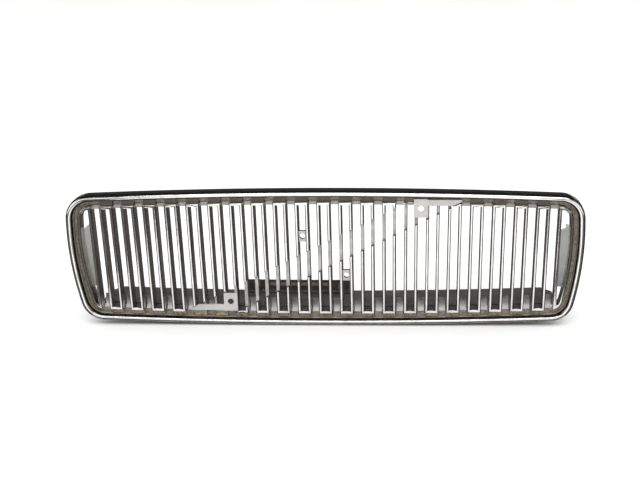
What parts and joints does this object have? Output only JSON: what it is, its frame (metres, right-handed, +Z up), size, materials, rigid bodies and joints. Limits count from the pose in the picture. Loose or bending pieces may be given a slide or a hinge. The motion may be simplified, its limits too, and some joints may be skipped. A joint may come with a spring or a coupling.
{
  "type": "front grille",
  "caption": "Wide chromed vehicle front grille: rounded surround, upright closed bar loops between comb rails, rear lower shelf, side brackets and quarter-turn retainers.",
  "frame": {"origin": "midway between the two badge boss holes, on the front faces of the bosses", "axes": "+X across the vehicle, to the right in a front view; +Y back into the vehicle; +Z up"},
  "size_m": [0.5614, 0.0724, 0.1526],
  "materials": {
    "chrome": "bright plated, lightly mottled and worn",
    "grey_plastic": "satin moulded",
    "black_plastic": "satin moulded, dusty",
    "steel": "zinc plated",
    "rubber": "matt",
    "felt": "pressed felt",
    "foam": "closed-cell foam"
  },
  "bodies": {
    "grille": {"surround": "chrome", "top_rail": "grey_plastic", "bottom_rail": "chrome", "bottom_scoops": "grey_plastic", "end_loop_left": "chrome", "end_loop_right": "chrome", "bar_loop_01": "chrome", "bar_loop_02": "chrome", "bar_loop_03": "chrome", "bar_loop_04": "chrome", "bar_loop_05": "chrome", "bar_loop_06": "chrome", "bar_loop_07": "chrome", "bar_loop_08": "chrome", "bar_loop_09": "chrome", "bar_loop_10": "chrome", "bar_loop_11": "chrome", "bar_loop_12": "chrome", "bar_loop_13": "chrome", "bar_loop_14": "chrome", "bar_loop_15": "chrome", "bar_loop_16": "chrome", "bar_loop_17": "chrome", "bar_loop_18": "chrome", "bar_loop_19": "chrome", "bar_loop_20": "chrome", "bar_loop_21": "chrome", "upper_trim_plate": "grey_plastic", "lower_trim_plate": "grey_plastic", "lower_shelf": "black_plastic", "latch_bracket": "black_plastic", "latch_bracket_strip": "felt", "latch_bracket_rivets": "steel", "side_bracket_left": "grey_plastic", "side_bracket_right": "grey_plastic", "side_bracket_screws": "steel", "top_rail_screws": "steel", "shelf_screws": "steel", "top_seal": "foam", "peg_washers": "rubber", "retainer_clips": "steel"},
    "left_turn_retainer": {"retainer_left": "black_plastic"},
    "right_turn_retainer": {"retainer_right": "black_plastic"}
  },
  "joints": [
    {"name": "left_retainer_turn", "type": "hinge", "parent": "grille", "child": "left_turn_retainer", "pos_m": [-0.1533, 0.026, 0.0602], "axis": [0, 1, 0], "range_deg": [0, 90]},
    {"name": "right_retainer_turn", "type": "hinge", "parent": "grille", "child": "right_turn_retainer", "pos_m": [0.1533, 0.026, 0.0602], "axis": [0, 1, 0], "range_deg": [0, 90]}
  ]
}
